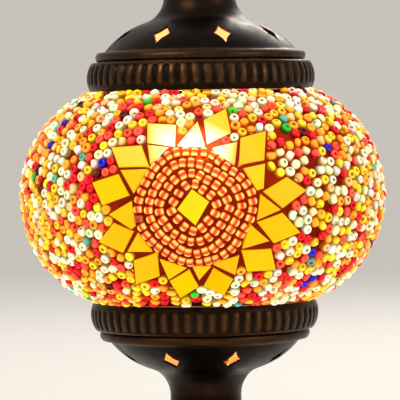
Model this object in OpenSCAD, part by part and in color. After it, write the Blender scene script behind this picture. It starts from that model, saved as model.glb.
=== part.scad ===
// Mosaic glass table lamp: a squat glass globe covered in seed beads and cut
// tiles, held between two matching pierced and fluted fittings, on a turned
// stem and a weighted foot. The top fitting lifts off to reach the lamp bulb.
// Millimetres, +Z up, origin at the centre of the felt's underside. The front
// medallion faces -Y.

/* [Globe] */
// Widest diameter of the globe, over the mosaic
globe_d = 131; // [129:1:134]
// Radius of the globe's bulging side, seen in section
bulge_r = 40.5; // [40:0.25:41]
// Wall of the blown glass
glass_t = 2.5; // [2:0.5:3]
// Plaster bed between the glass and the mosaic
grout_t = 0.8; // [0.6:0.1:1]
// Thickness of the tiles and beads
mosaic_t = 3.2; // [3:0.1:3.4]
// Radius of the hole at the top and bottom of the glass
opening_r = 34; // [33.5:0.25:34]

/* [Medallions] */
// Sun medallions around the globe
medallions = 3; // [2:1:3]
// Radius of the coiled strings of beads inside a medallion
coil_r = 20.4; // [19.5:0.1:20.6]
// Side of the square tiles
square_side = 8.6; // [8:0.1:8.8]
// How far the medallions' centres lie above the globe's widest line
medallion_rise = -2; // [-4:0.5:0]

/* [Fittings] */
// Diameter of the fluted band on the cap and gallery
rim_d = 82; // [82:0.5:83]
// Height between the two fittings' rims
rim_gap = 75.6; // [75.6:0.1:76]
// Wall of the spun brass
metal_t = 1; // [0.9:0.1:1.1]
// Star piercings around each fitting
piercings = 8; // [5:1:8]
// Flutes around each band
flutes = 60; // [40:2:64]

/* [Stem and foot] */
// Diameter of the foot's fluted band
foot_d = 117; // [112:1:124]
// Height of the turned vase between the collars
vase_h = 44; // [40:1:60]
// Diameter of the threaded rod
rod_d = 10; // [10:0.1:10.2]
// Height of the finial above its collar
finial_h = 47; // [44:1:50]

/* [Hidden] */
$fn = 96;

brass = [0.16, 0.11, 0.07];
steel = [0.62, 0.62, 0.63];
phenolic = [0.08, 0.07, 0.07];

slack = 0.05;            // radial room between a thread and its hole
rod_r = rod_d / 2;
rod_bore_r = 3.5;
rod_hole_r = rod_r + 0.25;
wall = metal_t;

// Stamped shells: [centre radius, centre height, arc radius, top height] of the
// fluted band, the bead above it and the dome, then the cove and the neck.
rim_r = rim_d / 2;
band_arc = 9.5;
fitting = [
    [rim_r - band_arc, 4.5, band_arc, 10.2],
    [rim_r - 5.4, 12, 2.2, 13.8],
    [rim_r - 30.7, -4.5, 30.4, 25.3],
    [23.5, 34, 10.7],
    [12.8, 38]
];
lip_r = 0.9;

foot_r = foot_d / 2;
foot_arc = 10.5;
foot = [
    [foot_r - foot_arc, 6, foot_arc, 12.5],
    [foot_r - 6.1, 14.6, 2.4, 16.6],
    [foot_r - 46.5, -9.5, 47, 36.4],
    [23, 46.5, 10.2],
    [12.8, 48.5]
];

// Heights, from the table up
felt_t = 1.5;
plate_t = 1.5;
foot_z = felt_t;
plate_top = foot_z + plate_t;
foot_top = foot_z + foot[4][1];
collar_h = 6;
vase_z = foot_top + collar_h;
upper_collar_z = vase_z + vase_h;
gallery_end_z = upper_collar_z + collar_h;
rim_h = rim_gap / 2;
fitting_h = fitting[4][1];
globe_z = gallery_end_z + fitting_h + rim_h;
cap_end_z = globe_z + rim_h + fitting_h;
finial_z = cap_end_z + collar_h;

// Globe section: an arc of radius bulge_r, centred this far from the axis
offset_r = globe_d / 2 - bulge_r;
grout_r = bulge_r - mosaic_t;
glass_r = grout_r - grout_t;
gap = 0.06;              // room left between layers that only touch
grout_hole_r = 36.5;
field_hole_r = 38.9;
field_h = rim_h - 0.4;
seat_t = 1;
seat_h = rim_h - 0.3;    // height of the seat rings from the globe's middle
gasket_h = 35.45;        // height of the glass's edge from the globe's middle
seat_in = 31;
seat_out = 38.6;

// Angles of the square tiles around a medallion, as laid by hand
square_angles = [9, 44, 74, 112, 141, 168, 199, 231, 260, 287, 315, 342];
rays = len(square_angles);
square_at = 27.7;        // distance of the square tiles from the middle
triangle_in = 20.9;
triangle_out = 26.6;
tile_t = 2.9;
centre_side = 8.2;
centre_turn = 54;
medallion_spin = [0, 45, 75];   // each medallion is laid at a turn of its own

// Lamp holder and bulb
holder_z = globe_z - 60;
holder_r = 13.5;
holder_wall = 1.4;
core_z = holder_z + 14.1;
core_h = 7;
core_r = 11.9;
leaf_z = core_z + core_h + 1.4;
leaf_t = 0.5;
bulb_tip = leaf_z + leaf_t + 0.02;
bulb_r = 22.5;
bulb_l = 78;
bulb_z = bulb_tip + bulb_l - bulb_r;
screw_r = 6.8;
screw_z = bulb_tip + 4;
screw_h = 18;
bulb_wall = 0.8;
bulb_neck_r = 9;

washer_t = 1.2;
nut_h = 5;
lock_nut_af = 14;
nut_af = 17;

// ---------------------------------------------------------------- sections

// Area inside a stamped shell, pulled in by inset for its hollow.
module shell_area(p, inset = 0) {
    band = p[0];
    bead = p[1];
    dome = p[2];
    cove = p[3];
    neck = p[4];
    under = inset > 0 ? 1 : 0;
    intersection() {
        union() {
            translate([band[0], band[1]]) circle(r = band[2] - inset);
            translate([0, -under]) square([band[0], band[3] + under]);
        }
        translate([0, -under]) square([100, band[3] - inset + under]);
    }
    intersection() {
        union() {
            translate([bead[0], bead[1]]) circle(r = bead[2] - inset);
            translate([0, band[3] - 2]) square([bead[0], 10]);
        }
        translate([0, band[3] - 2]) square([100, bead[3] - inset - band[3] + 2]);
    }
    intersection() {
        translate([dome[0], dome[1]]) circle(r = dome[2] - inset);
        translate([0, bead[3] - 2]) square([100, dome[3] - inset / 2 - bead[3] + 2]);
    }
    cove_r = cove_start(p);
    difference() {
        translate([0, dome[3] - 2]) square([cove_r - inset / 2, cove[1] - dome[3] + 2]);
        translate([cove[0], cove[1]]) circle(r = cove[2] + inset);
    }
    translate([0, cove[1] - 0.5])
        square([neck[0] - inset, neck[1] - cove[1] + 0.5 - inset * 1.2]);
}

// Radius at which the cove meets the dome.
function cove_start(p) =
    p[3][0] - sqrt(p[3][2] * p[3][2] - pow(p[3][1] - p[2][3], 2));

module stamped_shell(p) {
    rotate_extrude() difference() {
        union() {
            shell_area(p);
            translate([p[0][0] + p[0][2] - 1.4, lip_r]) circle(r = lip_r);
        }
        shell_area(p, wall);
        square([rod_hole_r, 100]);
    }
}

// Grooves that leave a row of flutes around a shell's band.
module flute_cuts(p, count) {
    depth = wall * 0.6;
    groove_r = 1.6;
    groove_h = 6;
    for (i = [0 : count - 1])
        rotate((i + 0.5) * 360 / count)
            translate([p[0][0] + p[0][2] + groove_r - depth, 0, p[0][1] - groove_h / 2])
                cylinder(r = groove_r, h = groove_h, $fn = 32);
}

// Four-pointed star with hollow sides and blunt tips.
module star(w, h) {
    side = norm([w, h]) / 2;
    hollow = side * 0.1;
    arc = (side * side / 4 + hollow * hollow) / (2 * hollow);
    out = arc - hollow;
    intersection() {
        difference() {
            polygon([[w / 2, 0], [0, h / 2], [-w / 2, 0], [0, -h / 2]]);
            for (x = [-1, 1], y = [-1, 1])
                translate([x * (w / 4 + out * h / 2 / side), y * (h / 4 + out * w / 2 / side)])
                    circle(r = arc);
        }
        square([w * 0.9, h * 0.92], center = true);
    }
}

module star_cuts(p, turn) {
    star_w = 7.4;
    star_l = 12.4;
    tilt = 54;           // rise of the dome's normal at the stars
    for (i = [0 : piercings - 1])
        rotate(-90 + turn + (i + 0.5) * 360 / piercings)
            translate([p[2][0], 0, p[2][1]]) rotate([0, 90 - tilt, 0])
                rotate(90) translate([0, 0, p[2][2] - 5])
                    linear_extrude(10) star(star_w, star_l);
}

// The stars are turned from the front medallion's line by turn degrees.
module fitting_shell(turn) {
    difference() {
        stamped_shell(fitting);
        flute_cuts(fitting, flutes);
        star_cuts(fitting, turn);
    }
}

module hex_nut(af, h) {
    difference() {
        cylinder(r = af / 2 / cos(30), h = h, $fn = 6);
        translate([0, 0, -1]) cylinder(r = rod_r + slack, h = h + 2);
    }
}

module ring(r_in, r_out, h) {
    difference() {
        cylinder(r = r_out, h = h);
        translate([0, 0, -1]) cylinder(r = r_in, h = h + 2);
    }
}

module collar(r) {
    rotate_extrude() difference() {
        union() {
            translate([r - collar_h / 2, collar_h / 2]) circle(r = collar_h / 2);
            square([r - collar_h / 2, collar_h]);
        }
        square([rod_hole_r, collar_h]);
    }
}

// Part of the globe's wall between two arc radii, outside a hole of radius r_in.
module globe_band(r_low, r_high, r_in, half_h) {
    rotate_extrude() intersection() {
        difference() {
            translate([offset_r, 0]) circle(r = r_high);
            translate([offset_r, 0]) circle(r = r_low);
        }
        translate([r_in, -half_h]) square([60, 2 * half_h]);
    }
}

// -------------------------------------------------------- medallion layout

function rise_angle(v) = (v + medallion_rise) / grout_r * 180 / PI;
function turn_angle(u, rise) = u / (offset_r + grout_r * cos(rise)) * 180 / PI;
function medallion_angle(k) = -90 + k * 360 / medallions;
function laid(i, k) = square_angles[i % rays] + 360 * floor(i / rays) + medallion_spin[k];
function ray_width(i) = square_angles[(i + 1) % rays] - square_angles[i] + (i == rays - 1 ? 360 : 0);

// Puts children on the plaster at polar place (s, phi) of medallion k, with
// their +Z outwards, +X to the right and +Y up.
module lay(k, s, phi) {
    rise = rise_angle(s * sin(phi));
    turn = turn_angle(s * cos(phi), rise);
    rotate(medallion_angle(k) + turn) translate([offset_r, 0, 0])
        rotate([0, -rise, 0]) translate([grout_r + gap, 0, 0])
            rotate([0, 90, 0]) rotate(90) rotate(phi) children();
}

// The same place seen straight on, at arc radius r of the globe's wall.
function facing(s, phi, r) =
    let (rise = rise_angle(s * sin(phi)), turn = turn_angle(s * cos(phi), rise))
    [(offset_r + r * cos(rise)) * sin(turn), r * sin(rise)];

module through_medallion(k) {
    rotate(medallion_angle(k)) rotate([0, 90, 0]) rotate(90)
        translate([0, 0, 25]) linear_extrude(60) children();
}

module sun_outline(k) {
    polygon([for (i = [0 : rays - 1], half = [0, 1])
        half == 0 ? facing(34.8, laid(i, k), bulge_r)
                  : facing(30.2, laid(i, k) + ray_width(i) / 2, bulge_r)]);
}

module coil_outline() {
    polygon([for (a = [0 : 10 : 350]) facing(coil_r, a, grout_r)]);
}

// ------------------------------------------------------------------- nodes

module felt_pad() {
    color([0.12, 0.2, 0.14]) cylinder(r = foot_r - 1.5, h = felt_t);
}

module base_plate() {
    hub_z = 10;
    color(steel) rotate_extrude() polygon([
        [rod_hole_r, hub_z], [15, hub_z], [19, foot_z], [foot_r - 3.5, foot_z],
        [foot_r - 3.5, plate_top], [20, plate_top], [16, hub_z + plate_t],
        [rod_hole_r, hub_z + plate_t]
    ]);
}

module ballast_ring() {
    color([0.25, 0.25, 0.26]) translate([0, 0, plate_top])
        rotate_extrude() difference() {
            translate([21, 0]) square([30.5, 12]);
            translate([51.5, 12]) rotate(45) square(4, center = true);
        }
}

inlet_z = 8.7;
boss_r = 4.9;
inlet_r = 3;
bushing_r = 3.6;
flange_r = 4.4;
boss_in = foot_r - 5.5;
flange_y = foot_r - 1.1;

module foot_shell() {
    hem_t = 1;
    color(brass) difference() {
        union() {
            translate([0, 0, foot_z]) difference() {
                stamped_shell(foot);
                flute_cuts(foot, 84);
            }
            translate([0, 0, plate_top]) ring(foot_r - 5, foot_r - 1.6, hem_t);
            translate([0, boss_in, inlet_z]) rotate([-90, 0, 0])
                cylinder(r = boss_r, h = foot_r - 1 - boss_in);
        }
        translate([0, boss_in - 1, inlet_z]) rotate([-90, 0, 0])
            cylinder(r = bushing_r + slack, h = 20);
        translate([0, flange_y, inlet_z]) rotate([-90, 0, 0])
            cylinder(r = boss_r, h = 10);
    }
}

module cord_bushing() {
    color(phenolic) translate([0, 0, inlet_z]) rotate([-90, 0, 0]) difference() {
        union() {
            translate([0, 0, boss_in - 0.5]) cylinder(r = bushing_r, h = flange_y - boss_in + 1);
            translate([0, 0, flange_y + 0.02]) cylinder(r = flange_r, h = 1.2);
        }
        cylinder(r = inlet_r, h = 100);
    }
}

module base_washer() {
    color(steel) translate([0, 0, 10 - washer_t]) ring(rod_hole_r, 10, washer_t);
}

module base_nut() {
    color(steel) translate([0, 0, 10 - washer_t - nut_h]) hex_nut(nut_af, nut_h);
}

module threaded_rod() {
    color(steel) translate([0, 0, 2.5])
        ring(rod_bore_r, rod_r, holder_z + 8 - 2.5);
}

module lower_collar() {
    color(brass) translate([0, 0, foot_top]) collar(15.5);
}

module stem_vase() {
    belly_z = 15;
    belly_arc = 13;
    belly_r = 16;
    waist_r = 7.5;
    sweep = 25;
    waist_z = vase_h - 7;
    flange_h = 2;
    color(brass) translate([0, 0, vase_z]) rotate_extrude() difference() {
        union() {
            square([11, flange_h]);
            square([9.5, belly_z]);
            intersection() {
                translate([belly_r - belly_arc, belly_z]) circle(r = belly_arc);
                translate([0, belly_z - 11]) square([40, 22]);
            }
            difference() {
                translate([0, belly_z + 9]) square([10.2, vase_h - belly_z - 9]);
                translate([waist_r + sweep, waist_z]) circle(r = sweep);
            }
            translate([0, vase_h - flange_h]) square([10.5, flange_h]);
        }
        square([rod_hole_r, vase_h]);
    }
}

module upper_collar() {
    color(brass) translate([0, 0, upper_collar_z]) collar(14.5);
}

module gallery_shell() {
    color(brass) translate([0, 0, globe_z - rim_h]) mirror([0, 0, 1])
        fitting_shell(-0.5);
}

gallery_floor = gallery_end_z + wall * 1.2;

module gallery_washer() {
    color(steel) translate([0, 0, gallery_floor + 0.02]) ring(rod_hole_r, 9, washer_t);
}

module gallery_nut() {
    color(steel) translate([0, 0, gallery_floor + washer_t + 0.04]) hex_nut(lock_nut_af, nut_h);
}

module gallery_seat_ring() {
    color(brass) translate([0, 0, globe_z - seat_h - seat_t]) ring(seat_in, seat_out, seat_t);
}

module lower_gasket() {
    color([0.1, 0.1, 0.1]) translate([0, 0, globe_z - seat_h + 0.02])
        ring(opening_r, 35.6, seat_h - gasket_h - 0.04);
}

module globe_glass() {
    color([0.95, 0.93, 0.88, 0.4]) translate([0, 0, globe_z])
        globe_band(glass_r - glass_t, glass_r, opening_r, 40);
}

module grout_coat() {
    color([0.75, 0.66, 0.52]) translate([0, 0, globe_z])
        globe_band(glass_r + gap / 2, grout_r, grout_hole_r, 40);
}

module centre_tiles() {
    color([0.98, 0.78, 0.12]) translate([0, 0, globe_z])
        for (k = [0 : medallions - 1])
            lay(k, 0, 0) rotate(centre_turn + medallion_spin[k]) translate([0, 0, tile_t / 2])
                cube([centre_side, centre_side, tile_t], center = true);
}

module square_tiles() {
    color([0.98, 0.7, 0.08]) translate([0, 0, globe_z])
        for (k = [0 : medallions - 1], i = [0 : rays - 1])
            lay(k, square_at, laid(i, k)) rotate(45) translate([0, 0, tile_t / 2])
                cube([square_side, square_side, tile_t], center = true);
}

module triangle_tiles() {
    centre = triangle_in + (triangle_out - triangle_in) / 3;
    color([0.98, 0.74, 0.1]) translate([0, 0, globe_z])
        for (k = [0 : medallions - 1], i = [0 : rays - 1]) {
            half = min(4.9, triangle_in * tan(ray_width(i) / 2) - 0.9);
            lay(k, centre, laid(i, k) + ray_width(i) / 2) linear_extrude(tile_t)
                polygon([[triangle_in - centre, -half], [triangle_out - centre, 0],
                         [triangle_in - centre, half]]);
        }
}

module coiled_beads() {
    color([0.9, 0.4, 0.1]) translate([0, 0, globe_z]) intersection() {
        globe_band(grout_r + gap, bulge_r - 0.2, field_hole_r, field_h);
        for (k = [0 : medallions - 1]) difference() {
            through_medallion(k) coil_outline();
            lay(k, 0, 0) rotate(centre_turn + medallion_spin[k])
                cube([centre_side + 0.8, centre_side + 0.8, 20], center = true);
        }
    }
}

module field_beads() {
    color([0.9, 0.75, 0.55]) translate([0, 0, globe_z]) difference() {
        globe_band(grout_r + gap, bulge_r, field_hole_r, field_h);
        for (k = [0 : medallions - 1]) through_medallion(k) sun_outline(k);
    }
}

module upper_gasket() {
    color([0.1, 0.1, 0.1]) translate([0, 0, globe_z + gasket_h + 0.02])
        ring(opening_r, 35.6, seat_h - gasket_h - 0.04);
}

module holder_base() {
    socket = 10;
    screw_hole = 1.5;
    color(phenolic) difference() {
        translate([0, 0, holder_z]) rotate_extrude() difference() {
            polygon([[rod_r + slack, 0], [8.5, 0], [8.5, 4], [holder_r, 10],
                     [holder_r, 14], [10.5, 14], [10.5, socket], [rod_r + slack, socket]]);
        }
        translate([0, 0, holder_z + 2.2]) rotate([90, 0, 0])
            cylinder(r = screw_hole + slack, h = 20);
    }
}

module holder_grub_screw() {
    color(steel) translate([0, -rod_r - 0.02, holder_z + 2.2]) rotate([90, 0, 0]) difference() {
        cylinder(r = 1.5, h = 4.4);
        translate([0, 0, 3.2]) cube([0.6, 2.4, 3], center = true);
    }
}

module holder_skirt() {
    color(phenolic) translate([0, 0, holder_z + 14.02]) rotate_extrude() difference() {
        union() {
            square([holder_r, 35]);
            translate([holder_r, 3]) circle(r = 0.8);
            translate([holder_r, 6]) circle(r = 0.8);
        }
        square([holder_r - holder_wall, 40]);
    }
}

module holder_core() {
    color([0.85, 0.82, 0.76]) translate([0, 0, core_z]) difference() {
        cylinder(r = core_r, h = core_h);
        translate([0, 0, -1]) cylinder(r = 2, h = 20);
        for (x = [-1, 1]) translate([x * 8.5, 0, 3]) cylinder(r = 1.6, h = 10);
    }
}

module holder_terminal_screws() {
    color([0.75, 0.62, 0.3]) for (x = [-1, 1])
        translate([x * 8.5, 0, core_z + 3.1]) difference() {
            cylinder(r = 1.5, h = 3.6);
            translate([0, 0, 3.6]) cube([4, 0.6, 1.4], center = true);
        }
}

sleeve_r = screw_r + 0.08;

module holder_thread_sleeve() {
    sleeve_t = 0.5;
    sleeve_z = core_z + core_h + 0.05;
    color([0.75, 0.62, 0.3]) translate([0, 0, sleeve_z]) difference() {
        cylinder(r = sleeve_r + sleeve_t, h = 23);
        translate([0, 0, 1]) cylinder(r = sleeve_r, h = 40);
        translate([0, 0, -1]) cylinder(r = 4, h = 10);
    }
}

module holder_contact() {
    color([0.75, 0.62, 0.3]) {
        translate([0, 0, core_z + 0.5]) cylinder(r = 1.95, h = leaf_z - core_z - 0.3);
        translate([0, 0, leaf_z]) cylinder(r = 3, h = leaf_t);
    }
}

module bulb_glass() {
    neck_in = screw_r - 0.5;
    color([0.98, 0.97, 0.94, 0.5]) rotate_extrude() intersection() {
        difference() {
            union() {
                translate([0, bulb_z]) circle(r = bulb_r);
                polygon([[0, screw_z + 10], [neck_in, screw_z + 10],
                         [neck_in, screw_z + screw_h + 0.5], [bulb_neck_r, screw_z + screw_h + 3],
                         [17, bulb_z - 14.74], [0, bulb_z]]);
            }
            translate([0, bulb_z]) circle(r = bulb_r - bulb_wall);
            polygon([[0, screw_z + 9], [neck_in - bulb_wall, screw_z + 9],
                     [neck_in - bulb_wall, screw_z + screw_h + 1],
                     [bulb_neck_r - bulb_wall, screw_z + screw_h + 3.3],
                     [16.2, bulb_z - 14.5], [0, bulb_z]]);
        }
        translate([0, screw_z]) square([40, 100]);
    }
}

module bulb_stem() {
    color([0.9, 0.92, 0.92, 0.5]) translate([0, 0, screw_z + 10]) rotate_extrude()
        polygon([[0, 0], [5.2, 0], [5.2, 2], [3, 9], [2, 30], [0, 30]]);
}

module bulb_filaments() {
    tilt = 14;
    color([1, 0.85, 0.5]) for (a = [45 : 90 : 315])
        rotate(a) translate([6, 0, bulb_z - 16]) rotate([0, tilt, 0]) cylinder(r = 0.9, h = 26);
}

module bulb_screw_cap() {
    color([0.8, 0.78, 0.72]) translate([0, 0, screw_z]) difference() {
        cylinder(r = screw_r, h = screw_h);
        translate([0, 0, 1]) cylinder(r = screw_r - 0.4, h = 40);
        translate([0, 0, -1]) cylinder(r = 4, h = 10);
    }
}

module bulb_insulator() {
    color(phenolic) translate([0, 0, bulb_tip + 1.1]) rotate_extrude()
        polygon([[0, 0], [2.4, 0], [5.2, 2.8], [3.9, 2.85], [3.9, 4.5], [0, 4.5]]);
}

module bulb_contact() {
    color([0.8, 0.78, 0.72]) translate([0, 0, bulb_tip]) cylinder(r = 2.3, h = 1);
}

module cap_shell() {
    color(brass) translate([0, 0, globe_z + rim_h]) fitting_shell(-3.8);
}

module cap_seat_ring() {
    color(brass) translate([0, 0, globe_z + seat_h]) difference() {
        ring(seat_in, seat_out, seat_t);
        for (a = clip_angles) rotate(a) translate([rivet_at, 0, -1]) cylinder(r = rivet_r + slack, h = 4);
    }
}

clip_angles = [30, 150, 270];
clip_width = 16;         // degrees of the ring that a clip covers
rivet_at = 37.2;
rivet_r = 0.9;
clip_t = 0.6;

// Bowed leaf springs that hang from the seat ring inside the glass's edge.
module cap_spring_clips() {
    bow = 14;
    reach = 33.5;
    tab_z = seat_h + seat_t + 0.02;
    color(steel) translate([0, 0, globe_z]) for (a = clip_angles) difference() {
        rotate(a - clip_width / 2) rotate_extrude(angle = clip_width) {
            intersection() {
                difference() {
                    translate([reach - bow, 32]) circle(r = bow);
                    translate([reach - bow, 32]) circle(r = bow - clip_t);
                }
                translate([20, 24]) square([20, tab_z + 0.3 - 24]);
            }
            translate([30, tab_z]) square([8.4, clip_t]);
        }
        rotate(a) translate([rivet_at, 0, tab_z - 1]) cylinder(r = rivet_r + slack, h = 4);
    }
}

module clip_rivets() {
    head = 1.4;
    color(steel) translate([0, 0, globe_z + seat_h]) for (a = clip_angles)
        rotate(a) translate([rivet_at, 0, 0]) {
            translate([0, 0, -0.5]) cylinder(r = head, h = 0.48);
            translate([0, 0, -0.3]) cylinder(r = rivet_r, h = seat_t + clip_t + 0.6);
            translate([0, 0, seat_t + clip_t + 0.05]) cylinder(r = head, h = 0.5);
        }
}

cap_ceiling = cap_end_z - wall * 1.2;

module cap_washer() {
    color(steel) translate([0, 0, cap_ceiling - washer_t - 0.02]) ring(rod_hole_r, 9, washer_t);
}

module cap_nut() {
    color(steel) translate([0, 0, cap_ceiling - washer_t - nut_h - 0.04]) hex_nut(lock_nut_af, nut_h);
}

module cap_nipple() {
    color(steel) translate([0, 0, cap_ceiling - 8]) ring(rod_bore_r, rod_r, finial_z + 7.5 - cap_ceiling + 8);
}

module finial_collar() {
    color(brass) translate([0, 0, cap_end_z]) collar(14.5);
}

module finial() {
    ball_r = 8;
    ball_z = 23;
    flare = 9;
    color(brass) translate([0, 0, finial_z]) rotate_extrude() difference() {
        union() {
            square([11, 2]);
            difference() {
                square([10, 13]);
                translate([5 + flare, 12]) circle(r = flare);
            }
            square([5, ball_z]);
            translate([4.6, 14]) circle(r = 1.8);
            intersection() {
                translate([0, ball_z]) circle(r = ball_r);
                square([20, 60]);
            }
            translate([2.6, ball_z + ball_r]) circle(r = 1.5);
            polygon([[0, ball_z], [2.6, ball_z + ball_r], [3.4, ball_z + ball_r + 3],
                     [0.9, finial_h - 1], [0, finial_h - 1]]);
            intersection() {
                translate([0, finial_h - 1]) circle(r = 1);
                square([20, 60]);
            }
        }
        square([rod_r + slack, 8]);
    }
}

felt_pad();
base_plate();
ballast_ring();
foot_shell();
cord_bushing();
base_washer();
base_nut();
threaded_rod();
lower_collar();
stem_vase();
upper_collar();
gallery_shell();
gallery_washer();
gallery_nut();
gallery_seat_ring();
lower_gasket();
globe_glass();
grout_coat();
centre_tiles();
square_tiles();
triangle_tiles();
coiled_beads();
field_beads();
upper_gasket();
holder_base();
holder_grub_screw();
holder_skirt();
holder_core();
holder_terminal_screws();
holder_thread_sleeve();
holder_contact();
bulb_glass();
bulb_stem();
bulb_filaments();
bulb_screw_cap();
bulb_insulator();
bulb_contact();
cap_shell();
cap_seat_ring();
cap_spring_clips();
clip_rivets();
cap_washer();
cap_nut();
cap_nipple();
finial_collar();
finial();
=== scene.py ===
import math

import bpy
import numpy as np
from mathutils import Matrix, Vector
from mathutils.kdtree import KDTree


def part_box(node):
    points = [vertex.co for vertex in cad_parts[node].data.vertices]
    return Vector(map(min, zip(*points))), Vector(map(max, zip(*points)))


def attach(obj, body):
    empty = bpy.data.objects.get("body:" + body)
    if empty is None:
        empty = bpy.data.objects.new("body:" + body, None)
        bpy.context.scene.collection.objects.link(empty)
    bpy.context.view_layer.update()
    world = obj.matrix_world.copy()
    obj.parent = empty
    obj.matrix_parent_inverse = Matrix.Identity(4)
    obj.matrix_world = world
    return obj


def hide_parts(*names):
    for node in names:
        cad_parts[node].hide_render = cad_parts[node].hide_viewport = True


# A mosaic glass table lamp. The turned and hidden CAD parts get materials; the mosaic and the stamped
# fittings are made again here, bead by bead, tile by tile and flute by flute.

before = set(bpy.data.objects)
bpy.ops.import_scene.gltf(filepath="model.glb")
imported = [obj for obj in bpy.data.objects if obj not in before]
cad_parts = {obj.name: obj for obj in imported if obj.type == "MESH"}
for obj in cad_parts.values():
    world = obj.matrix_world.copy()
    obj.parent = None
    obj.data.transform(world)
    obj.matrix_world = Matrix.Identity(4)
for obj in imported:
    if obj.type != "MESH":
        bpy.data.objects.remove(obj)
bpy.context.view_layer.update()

MM = 0.001
rng = np.random.default_rng(7)
glass_low, glass_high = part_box("globe_glass")
GLOBE_Z = (glass_low.z + glass_high.z) / 2
RIM_Z = 37.8 * MM              # half the distance between the two fittings' rims
OFFSET_R = 25.0 * MM           # centre of the globe's bulging side, from the axis
GROUT_R = 37.3 * MM            # outside of the plaster, in section
BULB_HEIGHT = 19.5 * MM        # of the bulb's middle over the globe's middle
MEDALLIONS = 3
MEDALLION_AT = [math.radians(-90 + k * 360 / MEDALLIONS) for k in range(MEDALLIONS)]   # azimuths
MEDALLION_SPIN = [0, 45, 75]   # each medallion is laid at a turn of its own, in degrees
MEDALLION_RISE = -2.0 * MM     # of its middle over the globe's middle


def rgb(r, g, b):
    """A colour given as 0 to 255 in sRGB, as linear values."""
    c = np.array([r, g, b], float) / 255
    return tuple(np.where(c <= 0.04045, c / 12.92, ((c + 0.055) / 1.055) ** 2.4))


def add(name, data):
    """A new object in the scene."""
    o = bpy.data.objects.new(name, data)
    bpy.context.scene.collection.objects.link(o)
    return o


# ---------------------------------------------------------------- materials


class Mat:
    """One Principled material and short ways to drive it from nodes."""

    def __init__(self, name, base=(0.8, 0.8, 0.8), rough=0.5, metal=0.0):
        self.m = bpy.data.materials.new(name)
        self.m.use_nodes = True
        self.nt = self.m.node_tree
        self.p = self.nt.nodes["Principled BSDF"]
        self.set("Base Color", (*base, 1.0))
        self.set("Roughness", rough)
        self.set("Metallic", metal)

    def set(self, socket, value):
        self.p.inputs[socket].default_value = value

    def emit(self, colour, strength):
        self.set("Emission Color", (*colour, 1.0))
        self.set("Emission Strength", strength)

    def drive(self, socket, source):
        self.link(source, self.p.inputs[socket])

    def link(self, a, b):
        self.nt.links.new(a, b)

    def node(self, kind, **values):
        n = self.nt.nodes.new(kind)
        for key, value in values.items():
            setattr(n, key, value)
        return n

    def attribute(self, name, output="Fac"):
        return self.node("ShaderNodeAttribute", attribute_name=name).outputs[output]

    def noise(self, scale, detail):
        n = self.node("ShaderNodeTexNoise")
        n.inputs["Scale"].default_value = scale
        n.inputs["Detail"].default_value = detail
        n.inputs["Roughness"].default_value = 0.55
        self.link(self.node("ShaderNodeTexCoord").outputs["Object"], n.inputs["Vector"])
        return n.outputs["Fac"]

    def ramp(self, fac, stops):
        """A colour ramp from (place, colour) stops, where a plain number is a grey."""
        n = self.node("ShaderNodeValToRGB")
        ramp = n.color_ramp
        while len(ramp.elements) < len(stops):
            ramp.elements.new(0.5)
        for e, (at, colour) in zip(ramp.elements, stops):
            e.position = at
            e.color = (*colour, 1.0) if isinstance(colour, tuple) else (colour, colour, colour, 1.0)
        self.link(fac, n.inputs["Fac"])
        return n.outputs["Color"]

    def math(self, op, a, b=None, clamp=False):
        n = self.node("ShaderNodeMath", operation=op, use_clamp=clamp)
        for socket, value in zip(n.inputs, (a, b)):
            if isinstance(value, (int, float)):
                socket.default_value = value
            elif value is not None:
                self.link(value, socket)
        return n.outputs[0]

    def mix(self, fac, a, b, blend="MIX"):
        n = self.node("ShaderNodeMix", data_type="RGBA", blend_type=blend)
        for socket, value in ((n.inputs[0], fac), (n.inputs[6], a), (n.inputs[7], b)):
            if isinstance(value, (int, float)):
                socket.default_value = value
            elif isinstance(value, tuple):
                socket.default_value = (*value, 1.0)
            else:
                self.link(value, socket)
        return n.outputs[2]

    def times(self, a, b):
        return self.mix(1.0, a, b, "MULTIPLY")

    def bump(self, scale, detail, strength, distance):
        """Bumps of one noise."""
        n = self.node("ShaderNodeBump")
        n.inputs["Strength"].default_value = strength
        n.inputs["Distance"].default_value = distance
        self.link(self.noise(scale, detail), n.inputs["Height"])
        self.drive("Normal", n.outputs["Normal"])

    def vary_roughness(self, scale, detail, low, high):
        """Roughness that wanders from low to high over the surface."""
        self.drive("Roughness", self.ramp(self.noise(scale, detail), [(0.3, low), (0.7, high)]))


def aged_brass(name, wear_from_mesh):
    """Near-black antique patina, rubbed to dull brass on the high edges."""
    m = Mat(name, metal=1.0)
    patina = [(0.3, rgb(12, 9, 8)), (0.55, rgb(22, 16, 13)), (0.75, rgb(38, 28, 20))]
    mottle = m.ramp(m.noise(90, 6), patina)
    if wear_from_mesh:
        wear = m.math("MULTIPLY", m.attribute("wear"), m.math("ADD", m.noise(260, 3), 0.25), clamp=True)
    else:
        wear = m.ramp(m.noise(38, 5), [(0.55, 0), (0.8, 0.45)])
    m.drive("Base Color", m.mix(wear, mottle, rgb(118, 82, 50)))
    m.vary_roughness(160, 5, 0.3, 0.5)
    m.bump(700, 3, 0.25, 0.0002)
    return m.m


BRASS = aged_brass("aged_brass", True)
BRASS_PLAIN = aged_brass("aged_brass_turned", False)

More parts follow.
